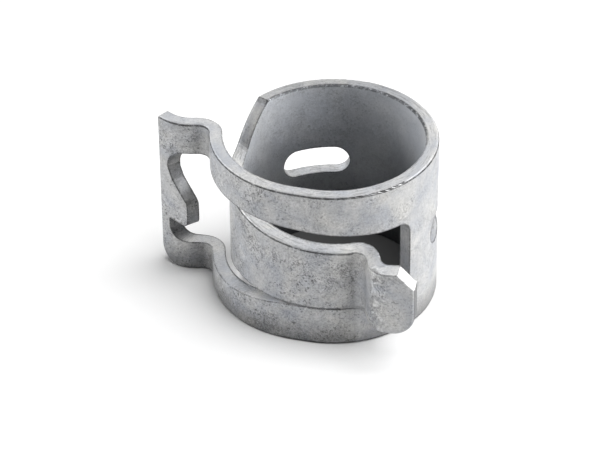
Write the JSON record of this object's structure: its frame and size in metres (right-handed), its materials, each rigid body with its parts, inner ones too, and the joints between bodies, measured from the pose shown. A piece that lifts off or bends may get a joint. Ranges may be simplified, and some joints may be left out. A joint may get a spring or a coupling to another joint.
{
  "type": "spring hose clamp",
  "caption": "Spring hose clamp rolled from a strip of coated spring steel, with slots in the band, a tongue running through a window between two legs, and pinch ears.",
  "frame": {"origin": "ring axis at the band's lower edge", "axes": "+Z along the ring axis, from the edge it stands on to the other; the tongue's ear stands out towards -Y and the legs' ear towards -X"},
  "size_m": [0.0187, 0.0165, 0.012],
  "materials": {
    "zinc_coated_spring_steel": "dull silver-grey zinc coating"
  },
  "bodies": {
    "root": {"clamp_band": "zinc_coated_spring_steel"}
  },
  "joints": []
}
